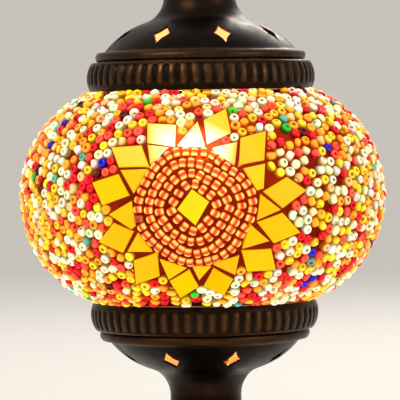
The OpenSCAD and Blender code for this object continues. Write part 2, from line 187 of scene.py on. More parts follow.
# The insides are paler than the patina outside: bare brass, and partly painted light, so the gallery's star
# holes show bright
inside = Mat("brass_inside", rgb(222, 178, 166), 0.6, 0.5)
inside.vary_roughness(160, 5, 0.5, 0.7)
inside_painted_shade = Mat("brass_inside_painted_shade", rgb(132, 84, 66), 0.6, 0.5)    # painted shade: a darker copy of the inside's brass for the cap, so its star holes show dimmer
inside_painted_shade.vary_roughness(160, 5, 0.5, 0.7)
steel = Mat("zinc_steel", rgb(176, 178, 182), 0.34, 1.0)
steel.vary_roughness(300, 4, 0.26, 0.42)
iron = Mat("cast_iron", rgb(58, 58, 60), 0.75, 0.6)
iron.bump(420, 5, 0.6, 0.0006)
phenolic = Mat("phenolic", rgb(26, 24, 24), 0.32)
phenolic.bump(900, 2, 0.08, 0.0002)
rubber = Mat("gasket_rubber", rgb(30, 30, 30), 0.8)
rubber.bump(600, 3, 0.2, 0.0002)
steatite = Mat("steatite", rgb(222, 214, 198), 0.6)
steatite.bump(500, 4, 0.2, 0.0002)
bright = Mat("bright_brass", rgb(226, 182, 92), 0.24, 1.0)
bright.vary_roughness(240, 3, 0.2, 0.32)
nickel = Mat("nickel", rgb(206, 200, 190), 0.25, 1.0)
nickel.vary_roughness(240, 3, 0.2, 0.34)

felt = Mat("felt", rgb(34, 58, 42), 0.95)
felt.set("Sheen Weight", 0.4)
felt.set("Sheen Roughness", 0.5)
felt.drive("Base Color", felt.ramp(felt.noise(900, 5), [(0.3, rgb(24, 44, 31)), (0.7, rgb(48, 78, 58))]))
felt.bump(2200, 3, 0.6, 0.0004)

# The globe's glass glows with painted light, standing in for the bulb's light through it
blown = Mat("blown_glass", rgb(250, 226, 176), 0.28)
blown.set("Coat Weight", 0.6)
blown.set("Coat Roughness", 0.06)
blown.emit(rgb(255, 196, 110), 0.55)
blown.bump(70, 3, 0.15, 0.001)

bulb = Mat("bulb_glass", rgb(255, 250, 240), 0.02)
bulb.set("Transmission Weight", 1.0)
bulb.set("IOR", 1.45)
stem_glass = Mat("bulb_stem_glass", rgb(240, 240, 235), 0.1)
stem_glass.set("Transmission Weight", 0.9)
stem_glass.set("IOR", 1.45)
filament = Mat("filament", rgb(255, 200, 90), 0.5)
filament.emit(rgb(255, 196, 96), 18.0)

grout = Mat("grout", rgb(70, 16, 6), 0.85)
reds = [(0.3, rgb(34, 7, 3)), (0.55, rgb(62, 14, 5)), (0.75, rgb(96, 28, 12))]
grout.drive("Base Color", grout.ramp(grout.noise(240, 5), reds))
# Painted light: the plaster glows with its glow attribute, made uneven by noise
uneven_glow = grout.ramp(grout.noise(60, 4), [(0.3, 0.55), (0.7, 1.0)])
grout.drive("Emission Color", grout.times(grout.attribute("glow", "Color"), uneven_glow))
grout.set("Emission Strength", 1.0)
grout.set("Specular IOR Level", 0.04)
grout.bump(500, 4, 0.4, 0.0005)


def glowing(name, rough, coat, dull, scale, gloss):
    """Glass whose colour and glow come from the mesh's own tint and glow, clouded down to dull; the glow is
    painted light, and the tint carries painted shade.
    """
    m = Mat(name, rough=rough)
    cloud = m.ramp(m.noise(scale, 4), [(0.3, (1.0, dull, dull ** 2)), (0.7, 1.0)])
    m.drive("Base Color", m.times(m.attribute("tint", "Color"), cloud))
    m.drive("Emission Color", m.times(m.attribute("glow", "Color"), cloud))
    m.set("Emission Strength", 1.0)
    m.set("Coat Weight", coat)
    m.set("Coat Roughness", 0.05)
    m.set("Specular IOR Level", gloss)
    return m


tile_glass = glowing("tile_glass", 0.25, 0.0, 0.9, 110, 0.12)
tile_glass.bump(120, 2, 0.1, 0.001)
bead_glass = glowing("bead_glass", 0.14, 0.04, 0.86, 330, 0.22)

# Orange glass with a pale lobe each side of the red bore that shows along it: painted light and shade of the
# bulb's light through the bead, darker at its edges, its ends and where it faces away from the outside.
coil_glass = Mat("coil_glass", rgb(112, 28, 6), 0.16)
coil_glass.set("Specular IOR Level", 0.3)
coil_glass.set("Coat Weight", 0.12)
coil_glass.set("Coat Roughness", 0.05)
across = coil_glass.math("ABSOLUTE", coil_glass.attribute("across"))
across = coil_glass.math("ADD", across, coil_glass.math("MULTIPLY", coil_glass.noise(900, 3), 0.16))
stripes = coil_glass.ramp(across, [
    (0.10, rgb(168, 28, 4)), (0.22, rgb(234, 92, 22)), (0.42, rgb(244, 128, 40)), (0.57, rgb(255, 222, 110)),
    (0.82, rgb(255, 214, 96)), (0.94, rgb(236, 108, 34)), (1.06, rgb(150, 36, 10)),
])
# painted shade towards the bead's ends, where it meets the next
fade = coil_glass.ramp(
    coil_glass.math("ABSOLUTE", coil_glass.attribute("along")),
    [(0.50, 1.0), (0.78, rgb(244, 176, 130)), (1.0, rgb(150, 30, 10))],
)
# painted shade where the bead's surface turns away from the outside
depth = coil_glass.ramp(
    coil_glass.math("ADD", coil_glass.math("MULTIPLY", coil_glass.attribute("raised"), 0.5), 0.5),
    [(0.42, rgb(70, 8, 2)), (0.62, rgb(200, 120, 84)), (0.82, 1.0)],
)
lit = coil_glass.times(coil_glass.times(stripes, fade), depth)
coil_glass.drive("Emission Color", coil_glass.times(lit, coil_glass.attribute("glow", "Color")))
coil_glass.set("Emission Strength", 1.4)

CAD_LOOKS = {
    BRASS_PLAIN: ["lower_collar", "stem_vase", "upper_collar", "finial_collar", "finial"],
    inside.m: ["gallery_seat_ring", "cap_seat_ring"],
    steel.m: ["base_plate", "base_washer", "base_nut", "threaded_rod", "gallery_washer", "gallery_nut",
              "holder_grub_screw", "cap_spring_clips", "clip_rivets", "cap_washer", "cap_nut", "cap_nipple"],
    iron.m: ["ballast_ring"],
    phenolic.m: ["cord_bushing", "holder_base", "holder_skirt", "bulb_insulator"],
    rubber.m: ["lower_gasket", "upper_gasket"],
    steatite.m: ["holder_core"],
    bright.m: ["holder_terminal_screws", "holder_thread_sleeve", "holder_contact"],
    nickel.m: ["bulb_screw_cap", "bulb_contact"],
    felt.m: ["felt_pad"],
    blown.m: ["globe_glass"],
    bulb.m: ["bulb_glass"],
    stem_glass.m: ["bulb_stem"],
    filament.m: ["bulb_filaments"],
}
SOFT_EDGED = ["lower_collar", "upper_collar", "stem_vase", "finial_collar", "finial", "holder_skirt",
              "holder_base", "cord_bushing", "base_nut", "gallery_nut", "cap_nut"]

for material, names in CAD_LOOKS.items():
    for n in names:
        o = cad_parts[n]
        o.data.materials.clear()
        o.data.materials.append(material)

for n in SOFT_EDGED:
    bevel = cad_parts[n].modifiers.new("edge", "BEVEL")
    bevel.width = 0.25 * MM
    bevel.segments = 2
    bevel.limit_method = "ANGLE"
    bevel.angle_limit = math.radians(40)


# ------------------------------------------------------------- mesh helpers


def make(name, verts, faces, material, body, replaces, attributes, smooth=True):
    """A mesh piece from arrays, riding on a CAD body."""
    me = bpy.data.meshes.new(name)
    me.from_pydata(np.asarray(verts, float).tolist(), [], [list(map(int, f)) for f in faces])
    for key, values in attributes.items():
        values = np.asarray(values, np.float32)
        if values.ndim == 1:
            me.attributes.new(key, "FLOAT", "POINT").data.foreach_set("value", values)
        else:
            rgba = np.ones((len(values), 4), np.float32)
            rgba[:, :3] = values
            me.attributes.new(key, "FLOAT_COLOR", "POINT").data.foreach_set("color", rgba.ravel())
    me.materials.append(material)
    me.polygons.foreach_set("use_smooth", np.full(len(me.polygons), smooth))
    me.update()
    o = add(name, me)
    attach(o, body)
    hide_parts(*replaces)
    return o


def grid_faces(rows, cols, wrap_rows=False):
    """Quads of a grid of vertices numbered row * cols + col, closed along each row."""
    r, c = np.meshgrid(np.arange(rows if wrap_rows else rows - 1), np.arange(cols), indexing="ij")
    r, c = r.ravel(), c.ravel()
    r2, c2 = (r + 1) % rows, (c + 1) % cols
    return np.stack([r * cols + c, r * cols + c2, r2 * cols + c2, r2 * cols + c], 1)


def smooth_step(x, a, b):
    t = np.clip((x - a) / (b - a), 0, 1)
    return t * t * (3 - 2 * t)


def along_line(points):
    """How far along the line each of its points is."""
    return np.concatenate([[0], np.cumsum(np.linalg.norm(np.diff(points, axis=0), axis=1))])


def dot(a, b):
    return np.einsum("vc,vc->v", a, b)


# ------------------------------------------------------- the globe's surface


def globe_point(azimuth, rise, height):
    """Point on the plaster, raised by height, with its right, up and outward directions."""
    ca, sa, cr, sr = np.cos(azimuth), np.sin(azimuth), np.cos(rise), np.sin(rise)
    out = np.stack([ca * cr, sa * cr, sr], -1)
    right = np.stack([-sa, ca, np.zeros_like(sa)], -1)
    up = np.stack([-sr * ca, -sr * sa, cr], -1)
    radial = np.stack([ca, sa, np.zeros_like(sa)], -1)
    place = OFFSET_R * radial + (GROUT_R + np.asarray(height))[..., None] * out
    place[..., 2] += GLOBE_Z
    return place, right, up, out


def one_point(azimuth, rise, height):
    """globe_point for a single place."""
    return (v[0] for v in globe_point(*(np.array([x]) for x in (azimuth, rise, height))))


def on_medallion(k, s, phi):
    """Azimuth and rise of polar place (s, phi) on medallion k."""
    rise = (s * np.sin(phi) + MEDALLION_RISE) / GROUT_R
    turn = s * np.cos(phi) / (OFFSET_R + GROUT_R * np.cos(rise))
    return MEDALLION_AT[k] + turn, rise


def flat_place(k, azimuth, rise):
    """A place on the globe in medallion k's flat (right, up) measure."""
    turn = (azimuth - MEDALLION_AT[k] + np.pi) % (2 * np.pi) - np.pi
    return np.stack([turn * (OFFSET_R + GROUT_R * np.cos(rise)), rise * GROUT_R - MEDALLION_RISE], -1)


HOT_HALF = 13.0, 5.8           # half the width and height of the bright spot, mm
HOT_SLOPE = 0.19               # it runs down to the right
HALO_HALF = 14, 9


def hot_spot(points):
    """1 where the bulb shows through a medallion, with a soft rim and a faint halo round it."""
    best = np.zeros(len(points))
    for a in MEDALLION_AT:
        side = points @ np.array([-math.sin(a), math.cos(a), 0.0]) / MM
        high = (points[:, 2] - GLOBE_Z - BULB_HEIGHT) / MM + HOT_SLOPE * side
        front = (points @ np.array([math.cos(a), math.sin(a), 0.0])) > 0
        spot = 1 - smooth_step(np.hypot(side / HOT_HALF[0], high / HOT_HALF[1]), 0.55, 1.25)
        halo = 0.1 * np.exp(-((side / HALO_HALF[0]) ** 2) - (high / HALO_HALF[1]) ** 2)
        best = np.maximum(best, front * np.maximum(spot, halo))
    return best


def near_bulb(points, reach, fade):
    """1 near the bulb's middle, falling over the last stretch, fade, to 0 at reach from it (m)."""
    away = np.linalg.norm(points - np.array([0, 0, GLOBE_Z + BULB_HEIGHT]), axis=1)
    return np.clip((reach - away) / fade, 0, 1)


# --------------------------------------------------------------------- tiles

TILE_THICK = 2.9               # mm
TILE_LIFT = 0.06 * MM          # of a tile's underside over the plaster
TILE_SCALE = (1.045, 1.065)    # corners are given as on the plaster, and a tile's top lies further out
TILE_TILT = 0.014              # how unevenly the tiles are pressed in
# painted shade: the deeper orange of a tile's sides
TILE_SIDE_SHADE = np.array(rgb(226, 92, 4))
# painted light: from deep yellow far from the bulb to pale yellow near it
YELLOWS = [(0.0, rgb(255, 196, 0)), (0.35, rgb(255, 210, 0)), (0.7, rgb(255, 222, 2)), (1.0, rgb(255, 234, 16))]


def prism(outline, azimuth, rise, tip):
    """A hand-cut tile: a flat outline in (right, up) about a place on the plaster, with softened edges.
    Gives its vertices, its faces and how high each vertex is in it."""
    place, right, up, out = one_point(azimuth, rise, TILE_LIFT)
    out = out + tip[0] * right + tip[1] * up
    out /= np.linalg.norm(out)
    n = len(outline)
    edge = np.roll(outline, -1, 0) - outline
    normal = np.stack([edge[:, 1], -edge[:, 0]], 1) / np.linalg.norm(edge, axis=1)[:, None]
    miter = np.roll(normal, 1, 0) + normal
    miter /= np.sum(miter * normal, 1)[:, None]
    # Height and how far the outline is drawn in there, in mm.
    levels = [(0.0, 0.12), (0.12, 0.0), (TILE_THICK - 0.35, 0.0), (TILE_THICK - 0.12, 0.1), (TILE_THICK, 0.36)]
    rings = []
    for z, inset in levels:
        ring = outline - miter * inset * MM
        rings.append(place + ring[:, :1] * right + ring[:, 1:] * up + z * MM * out)
    faces = [list(f) for f in grid_faces(len(levels), n)]
    faces.append(list(range(n))[::-1])
    faces.append([(len(levels) - 1) * n + i for i in range(n)])
    return np.concatenate(rings), faces, np.repeat([z for z, _ in levels], n) / TILE_THICK


def yellow_at(nearness):
    xs = [s[0] for s in YELLOWS]
    return np.stack([np.interp(nearness, xs, [s[1][i] for s in YELLOWS]) for i in range(3)], 1)


def tiles(name, shapes, replaced, lighter=0.0):
    """All tiles of one kind as one piece, each a little different in colour, paler near the bulb and deeper and
    darker at its sides, which is painted light and shade.
    """
    verts, faces, tint, glow, count = [], [], [], [], 0
    for outline, azimuth, rise, tip in shapes:
        v, f, level = prism(outline, azimuth, rise, tip)
        verts.append(v)
        faces += [[count + i for i in face] for face in f]
        count += len(v)
        # painted light: nearer the bulb a tile is paler, with a random shift of tone per tile
        near = near_bulb(v, 0.078, 0.030) * 0.9 + rng.uniform(-0.16, 0.14) + lighter
        colour = yellow_at(np.clip(near, 0, 1)) * rng.uniform(0.93, 1.0)
        # painted shade: the sides turn deeper orange and darker towards the plaster
        side = (np.clip(1 - level * 1.04, 0, 1)[:, None] ** 0.7) * 0.85
        colour = colour * (1 - side) + TILE_SIDE_SHADE * side
        # painted light: brighter in the globe's lower half, plus the painted hot spot
        below = np.clip(-(v[:, 2:] - GLOBE_Z) / 0.030, 0, 1)
        tint.append(colour * 0.24)
        lit = colour * (0.84 + 0.12 * below) * (1 - 0.35 * side)
        glow.append(lit + hot_spot(v)[:, None] * np.array([2.0, 1.9, 1.5]))
    make(name, np.concatenate(verts), faces, tile_glass.m, "globe", replaced,
         {"tint": np.concatenate(tint), "glow": np.concatenate(glow)}, smooth=False)


def turned(points, angle):
    c, s = math.cos(angle), math.sin(angle)
    return np.asarray(points) @ np.array([[c, s], [-s, c]])


def cut_by_hand(points, amount):
    return points + rng.normal(0, amount, (len(points), 2))


# The corners of each hand-cut tile, to the right of and above its medallion's middle (mm).
SQUARES = [
    [(22.6, 4.6), (29.5, -0.9), (38.3, 4.5), (31.3, 9.0)],
    [(15.2, 22.6), (14.7, 13.3), (23.2, 14.7), (23.9, 24.9)],
    [(3.0, 29.9), (4.2, 20.7), (11.9, 24.6), (10.2, 34.4)],
    [(-15.8, 28.8), (-15.7, 21.4), (-6.5, 20.0), (-6.2, 28.0)],
    [(-28.6, 19.8), (-25.7, 13.0), (-15.0, 13.2), (-17.8, 20.4)],
    [(-35.8, 8.1), (-32.0, 0.8), (-21.9, 4.0), (-26.0, 10.8)],
    [(-28.0, -4.9), (-34.0, -11.3), (-25.1, -15.0), (-20.7, -7.8)],
    [(-21.2, -18.0), (-21.1, -27.7), (-12.6, -24.3), (-12.9, -15.0)],
    [(-2.5, -21.6), (-9.1, -26.7), (-6.0, -35.0), (0.2, -29.4)],
    [(5.6, -21.1), (2.1, -29.2), (8.6, -33.9), (11.8, -26.3)],
    [(15.0, -14.8), (16.7, -22.8), (26.7, -22.6), (25.2, -14.5)],
    [(20.4, -5.3), (26.2, -12.4), (35.8, -9.1), (29.5, -2.4)],
]
TRIANGLES = [
    [(-5.4, 20.3), (3.4, 20.3), (1.0, 29.2)], [(6.1, 19.3), (13.3, 13.6), (14.1, 21.2)],
    [(16.3, 12.2), (20.7, 4.9), (22.9, 5.5), (23.5, 13.5)], [(20.5, -4.5), (28.8, -1.4), (21.8, 3.8)],
    [(15.3, -14.0), (24.4, -11.6), (18.2, -5.9)], [(5.4, -19.8), (12.6, -24.2), (14.1, -16.5)],
    [(-1.3, -20.6), (0.6, -26.2), (4.7, -20.5)], [(-12.1, -17.5), (-9.5, -25.8), (-3.4, -21.1)],
    [(-19.3, -8.1), (-23.3, -14.7), (-14.6, -14.7)],
    [(-29.6, -2.1), (-21.6, -6.9), (-20.1, -5.9), (-21.3, 2.3)], [(-25.1, 12.1), (-20.5, 4.6), (-15.6, 12.4)],
    [(-15.6, 20.6), (-14.7, 14.0), (-8.6, 19.6)],
]
CENTRE = [(-0.9, 5.7), (4.6, 1.6), (0.1, -5.8), (-5.8, -0.6)]

squares, triangles, centres = [], [], []
tile_polygons = [[] for _ in range(MEDALLIONS)]   # in each medallion's flat (right, up) measure


def lay_tile(kind, k, points, tilt):
    """Turns a tile's corners with its medallion and lays it at their middle."""
    points = turned(np.asarray(points, float) * MM, math.radians(MEDALLION_SPIN[k]))
    after = np.roll(points, -1, 0)
    if np.sum(points[:, 0] * after[:, 1] - points[:, 1] * after[:, 0]) < 0:
        points = points[::-1]
    middle = points.mean(0)
    azimuth, rise = on_medallion(k, math.hypot(*middle), math.atan2(middle[1], middle[0]))
    outline = points - middle                 # the globe narrows above and below, so upright lines lean in
    outline[:, 0] += (azimuth - MEDALLION_AT[k]) * math.sin(rise) * outline[:, 1]
    kind.append((outline * TILE_SCALE, azimuth, rise, tuple(rng.normal(0, tilt, 2))))
    tile_polygons[k].append(points)


for k in range(MEDALLIONS):
    lay_tile(centres, k, CENTRE, 0.0)
    for kind, cuts in ((squares, SQUARES), (triangles, TRIANGLES)):
        for corners in cuts:
            corners = np.array(corners)
            if k:                             # the same pattern, cut and laid a little differently
                middle = corners.mean(0)
                smaller = cut_by_hand((corners - middle) * rng.normal(0.97, 0.02), 0.12)
                corners = turned(smaller, math.radians(rng.normal(0, 2))) + middle
            lay_tile(kind, k, corners, TILE_TILT)

tiles("square_tiles_cut", squares, ["square_tiles"])
tiles("triangle_tiles_cut", triangles, ["triangle_tiles"])
tiles("centre_tiles_cut", centres, ["centre_tiles"], lighter=0.6)


def tile_distance(k, flat):
    """How far each flat place lies outside the nearest tile's edge; negative on a tile."""
    best = np.full(len(flat), 1.0)
    for poly in tile_polygons[k]:
        gap = np.full(len(flat), -1.0)
        for a, b in zip(poly, np.roll(poly, -1, 0)):
            e = (b - a) / np.linalg.norm(b - a)
            gap = np.maximum(gap, (flat[:, 0] - a[0]) * e[1] - (flat[:, 1] - a[1]) * e[0])
        best = np.minimum(best, gap)
    return best


def plaster():
    """The plaster bed, pressed up between the tiles and a little under the strung beads."""
    cols, rows, inner_rows = 600, 124, 14
    skin, mouth_r, medallion_r = 0.5 * MM, 36.6 * MM, 37 * MM
    top = math.acos((mouth_r - OFFSET_R) / (GROUT_R + skin))
    around = np.arange(cols) / cols * 2 * np.pi
    azimuth, rise = (v.ravel() for v in np.meshgrid(around, np.linspace(-top, top, rows)))
    height = np.full(len(azimuth), skin)
    for k in range(MEDALLIONS):
        flat = flat_place(k, azimuth, rise)
        s = np.hypot(flat[:, 0], flat[:, 1])
        inside = s < medallion_r
        gap = tile_distance(k, flat[inside])
        s = s[inside] / MM
        between = 0.5 + 1.9 * (1 - smooth_step(gap / MM, 0.5, 1.6)) * smooth_step(s, 19.6, 20.9)
        under_coil = 0.75 * (1 - smooth_step(s, 19.5, 20.8))
        height[inside] = np.maximum(height[inside], np.maximum(between, under_coil) * MM)
    ends = smooth_step(np.abs(rise), top - 0.02, top)
    outer = globe_point(azimuth, rise, height * (1 - ends))[0]
    back = (v.ravel() for v in np.meshgrid(around, np.linspace(top, -top, inner_rows)))
    verts = np.concatenate([outer, globe_point(*back, -0.75 * MM)[0]])
    # Painted light: the plaster glows deep red away from the bulb, brighter near it, plus the painted hot spot
    near = near_bulb(verts, 0.080, 0.032)[:, None]
    glow = np.array(rgb(112, 14, 2)) * (1 - near) + np.array(rgb(186, 44, 10)) * near
    glow = glow + hot_spot(verts)[:, None] * np.array(rgb(255, 96, 34)) * 1.3
    make("plaster_bed", verts, grid_faces(rows + inner_rows, cols, wrap_rows=True), grout.m, "globe",
         ["grout_coat"], {"glow": glow})


plaster()

# --------------------------------------------------------------------- beads


def bead_template(sides, points, hole, flat_end):
    """A rounded glass bead of radius 1 and half length 1 about Z, with its bore. Gives its vertices, its
    faces, 0 in the bore to 1 at the widest for each vertex, and the vertices' normals."""
    t = np.linspace(-np.pi / 2, np.pi / 2, points)
    rho = flat_end + (1 - flat_end) * np.cos(t) ** 0.85
    high = np.sin(t) * 0.97 + 0.03 * np.sin(t) ** 3
    rho = np.concatenate([rho, [hole * 1.25, hole, hole, hole * 1.25]])
    high = np.concatenate([high, [0.96, 0.72, -0.72, -0.96]])
    a = np.arange(sides) / sides * 2 * np.pi

    def spun_about_z(r, z):
        return np.stack([np.outer(r, np.cos(a)), np.outer(r, np.sin(a)), np.outer(z, np.ones(sides))], -1)

    outer = np.repeat(np.clip((rho - hole) / (1 - hole), 0, 1), sides)
    normal = spun_about_z(np.roll(high, -1) - np.roll(high, 1), -(np.roll(rho, -1) - np.roll(rho, 1)))
    faces = grid_faces(len(rho), sides, wrap_rows=True)
    return spun_about_z(rho, high).reshape(-1, 3), faces, outer, normal.reshape(-1, 3)


def bead_mesh(template, place, axis, out, radius, half_length):
    """Many beads at once: vertices, faces, each vertex's place from its bead's middle, how far it faces out."""
    base, base_faces, _, normal = template
    x = np.cross(axis, out)
    upright = np.linalg.norm(x, axis=1) < 0.2           # these take any other direction for x
    x[upright] = np.cross(axis, np.array([0.31, 0.52, 0.79]))[upright]
    x /= np.linalg.norm(x, axis=1)[:, None]
    y = np.cross(axis, x)
    r, h = radius[:, None, None], half_length[:, None, None]
    rel = (base[None, :, :1] * r) * x[:, None] + (base[None, :, 1:2] * r) * y[:, None]
    rel = rel + (base[None, :, 2:] * h) * axis[:, None]
    own_out = np.stack([dot(x, out), dot(y, out), dot(axis, out)], 1)
    scaled = normal[None] / np.concatenate([r, r, h], 2)
    facing = np.einsum("nvc,nc->nv", scaled, own_out) / np.linalg.norm(scaled, axis=2)
    faces = (base_faces[None] + (np.arange(len(place)) * len(base))[:, None, None]).reshape(-1, 4)
    return (rel + place[:, None]).reshape(-1, 3), faces, rel.reshape(-1, 3), facing.reshape(-1)


# Beads strung in rounds about each medallion's middle tile. For each round: its beads, and its distance
# from the middle every 15 degrees (mm), from the right and turning towards the top.
COIL_RINGS = [
    (39, (19.0, 18.8, 17.5, 16.5, 16.4, 17.9, 17.8, 18.5, 18.6, 18.1, 17.7, 18.1,
          18.9, 19.0, 18.3, 18.1, 17.9, 18.8, 18.9, 18.7, 18.3, 17.9, 17.0, 18.1)),
    (32, (15.2, 14.8, 14.1, 13.2, 12.8, 13.1, 14.1, 14.6, 14.9, 14.4, 14.1, 14.6,
          15.3, 15.1, 14.4, 14.3, 14.0, 15.2, 15.5, 14.7, 14.4, 13.7, 13.6, 14.0)),
    (23, (11.1, 10.5, 10.0, 9.6, 9.4, 9.7, 10.7, 11.0, 10.9, 10.6, 10.7, 11.2,
          11.8, 11.6, 10.8, 11.0, 10.7, 11.2, 11.2, 11.0, 10.3, 9.9, 10.0, 10.3)),
    (14, (7.3, 6.8, 6.4, 6.1, 6.0, 6.5, 7.4, 7.6, 7.2, 6.8, 6.7, 7.1,
          7.9, 7.4, 6.8, 6.7, 7.0, 7.6, 7.8, 7.2, 6.4, 6.0, 6.3, 6.9)),
]
BEAD_R = 1.82                  # mm
BEAD_HALF = 1.42               # half a strung bead's length, mm
DARK_BEAD = 19.0 * np.array([math.cos(math.radians(187)), math.sin(math.radians(187))])    # the odd one's place
COIL_BEAD = bead_template(18, 9, 0.22, 0.36)
coil = {key: [] for key in ("place", "axis", "out", "r", "h", "shade")}
coil_spots = [[] for _ in range(MEDALLIONS)]


def coil_ring(count, distances):
    """One round of the coil: the places of its beads and the string's way at each, in mm."""
    a = np.arange(0, 361, 2.0)
    s = np.interp(a, np.arange(len(distances) + 1) * 360 / len(distances), distances + distances[:1])
    for _ in range(4):                        # rounds off the corners between the stated distances
        s[1:-1] = (s[:-2] + 2 * s[1:-1] + s[2:]) / 4
    outline = np.stack([s * np.cos(np.radians(a)), s * np.sin(np.radians(a))], 1) * 1.015
    length = along_line(outline)
    at = (np.arange(count) + rng.uniform(0, 1)) / count * length[-1]
    place = np.stack([np.interp(at, length, outline[:, i]) for i in (0, 1)], 1)
    ahead = np.stack([np.interp((at + 0.5) % length[-1], length, outline[:, i]) for i in (0, 1)], 1)
    return place, ahead - place


for k in range(MEDALLIONS):
    spin = math.radians(MEDALLION_SPIN[k])
    for count, distances in COIL_RINGS:
        places, ways = coil_ring(count, distances)
        for flat, way in zip(turned(places, spin), turned(ways, spin)):
            flat = flat + rng.normal(0, 0.07, 2)
            r = rng.normal(BEAD_R, 0.06)
            azimuth, rise = on_medallion(k, math.hypot(*flat) * MM, math.atan2(flat[1], flat[0]))
            place, right, up, out = one_point(azimuth, rise, (r * 0.9 + rng.normal(0.1, 0.08)) * MM)
            along = way[0] * right + way[1] * up
            along = along / np.linalg.norm(along)
            along = along + rng.normal(0, 0.07) * right + rng.normal(0, 0.07) * up + rng.normal(0, 0.06) * out
            shade = rng.uniform(0.86, 1.06) * np.array([1.0, rng.uniform(0.9, 1.06), rng.uniform(0.9, 1.1)])
            if math.hypot(*(flat - turned(DARK_BEAD, spin))) < 1.55:
                shade = shade * np.array([0.34, 0.16, 0.2])
            for key, value in (("place", place), ("axis", along / np.linalg.norm(along)), ("out", out),
                               ("r", r * MM), ("h", rng.normal(BEAD_HALF, 0.06) * MM), ("shade", shade)):
                coil[key].append(value)
            coil_spots[k].append(tuple(flat * MM))

coil = {key: np.array(values) for key, values in coil.items()}
verts, faces, rel, facing = bead_mesh(COIL_BEAD, coil["place"], coil["axis"], coil["out"], coil["r"], coil["h"])
per = len(COIL_BEAD[0])
axis_v, out_v, r_v, h_v, shade_v = (np.repeat(coil[key], per, 0) for key in ("axis", "out", "r", "h", "shade"))
# Painted light: the strung beads glow brighter near the bulb, plus the painted hot spot
lit = shade_v * (0.80 + 0.26 * near_bulb(verts, 0.080, 0.030)[:, None])
make("coiled_bead_strings", verts, faces, coil_glass.m, "globe", ["coiled_beads"], {
    "across": dot(rel, np.cross(axis_v, out_v)) / r_v,
    "along": dot(rel, axis_v) / h_v,
    "raised": facing,
    "glow": lit + hot_spot(verts)[:, None] * np.array([0.5, 0.55, 0.5]),
})

# Loose beads all over the rest of the globe, pushed apart until they lie evenly.
RISE_MAX = math.radians(67.6)
BEAD_HEIGHT = 1.5 * MM         # of their middles over the plaster, while they are pushed apart
LOOSE_BEADS = 1860             # before some are left out
SPACING = 3.78 * MM            # from bead to bead
EDGE_GAP = 2.5 * MM            # from a bead's middle to a tile's edge or a strung bead
COIL_R = 20.9 * MM             # the room that the coil takes
LEFT_OUT = 0.012               # share of the beads that is missing


def bead_points(azimuth, rise):
    return globe_point(azimuth, rise, np.full(len(azimuth), BEAD_HEIGHT))


def keep_off():
    """Places round every tile and along each coil's outer round, which the loose beads keep clear of."""
    found = []
    for k in range(MEDALLIONS):
        flat = [p for p in coil_spots[k] if math.hypot(*p) > 16 * MM]
        for poly in tile_polygons[k][1:]:     # all but the middle tile
            for a, b in zip(poly, np.roll(poly, -1, 0)):
                steps = max(2, int(np.linalg.norm(b - a) / (1.1 * MM)))
                flat += [tuple(a + (b - a) * t / steps) for t in range(steps)]
        flat = np.array(flat)
        azimuth, rise = on_medallion(k, np.hypot(flat[:, 0], flat[:, 1]), np.arctan2(flat[:, 1], flat[:, 0]))
        found.append(bead_points(azimuth, rise)[0])
    return np.concatenate(found)


def inside_medallion(azimuth, rise):
    """True where a place lies on a tile or within the coil."""
    inside = np.zeros(len(azimuth), bool)
    for k in range(MEDALLIONS):
        flat = flat_place(k, azimuth, rise)
        inside |= (np.hypot(flat[:, 0], flat[:, 1]) < COIL_R) | (tile_distance(k, flat) < 1.2 * MM)
    return inside


def pairs_within(places, others, reach):
    """Index pairs of places and others no further apart than reach."""
    tree = KDTree(len(others))
    for i, p in enumerate(others):
        tree.insert(p, i)
    tree.balance()
    found = [(i, j) for i, p in enumerate(places) for _, j, _ in tree.find_range(p, reach)]
    return np.array(found, int).reshape(-1, 2).T


def scatter():
    """Azimuth and rise of each loose bead."""
    tries = LOOSE_BEADS * 6
    a = rng.uniform(-np.pi, np.pi, tries)
    r = rng.uniform(-RISE_MAX, RISE_MAX, tries)
    keep = rng.random(tries) < (OFFSET_R + GROUT_R * np.cos(r)) / (OFFSET_R + GROUT_R)
    keep &= ~inside_medallion(a, r)
    a, r = a[keep][:LOOSE_BEADS], r[keep][:LOOSE_BEADS]
    fixed = keep_off()
    for step in range(96):
        place, right, up, _ = bead_points(a, r)
        if step % 8 == 0:                     # neighbours are looked up now and then, with room to spare
            i1, j1 = pairs_within(place, place, SPACING + 2.2 * MM)
            i1, j1 = i1[i1 != j1], j1[i1 != j1]
            i2, j2 = pairs_within(place, fixed, EDGE_GAP + 1.6 * MM)
        push = np.zeros((len(a), 3))
        for i, other, reach in ((i1, place[j1], SPACING), (i2, fixed[j2], EDGE_GAP)):
            d = place[i] - other
            dist = np.linalg.norm(d, axis=1) + 1e-9
            d = d * (np.clip(1 - dist / reach, 0, 1) * reach / dist)[:, None]
            for c in range(3):
                push[:, c] += np.bincount(i, d[:, c], len(a))
        push *= 0.42
        push *= np.minimum(1, 0.9 * MM / np.maximum(np.linalg.norm(push, axis=1), 1e-9))[:, None]
        a = a + dot(push, right) / (OFFSET_R + GROUT_R * np.cos(r))
        r = np.clip(r + dot(push, up) / GROUT_R, -RISE_MAX, RISE_MAX)
    ok = ~inside_medallion(a, r)
    a, r = a[ok], r[ok]
    place = bead_points(a, r)[0]
    keep = rng.random(len(a)) > LEFT_OUT
    for i, j in pairs_within(place, place, SPACING * 0.66).T:
        if j > i and keep[i]:                 # where two are squeezed together, one goes
            keep[j] = False
    return a[keep], r[keep]


azimuth, rise = scatter()
n = len(azimuth)
print("loose beads", n)

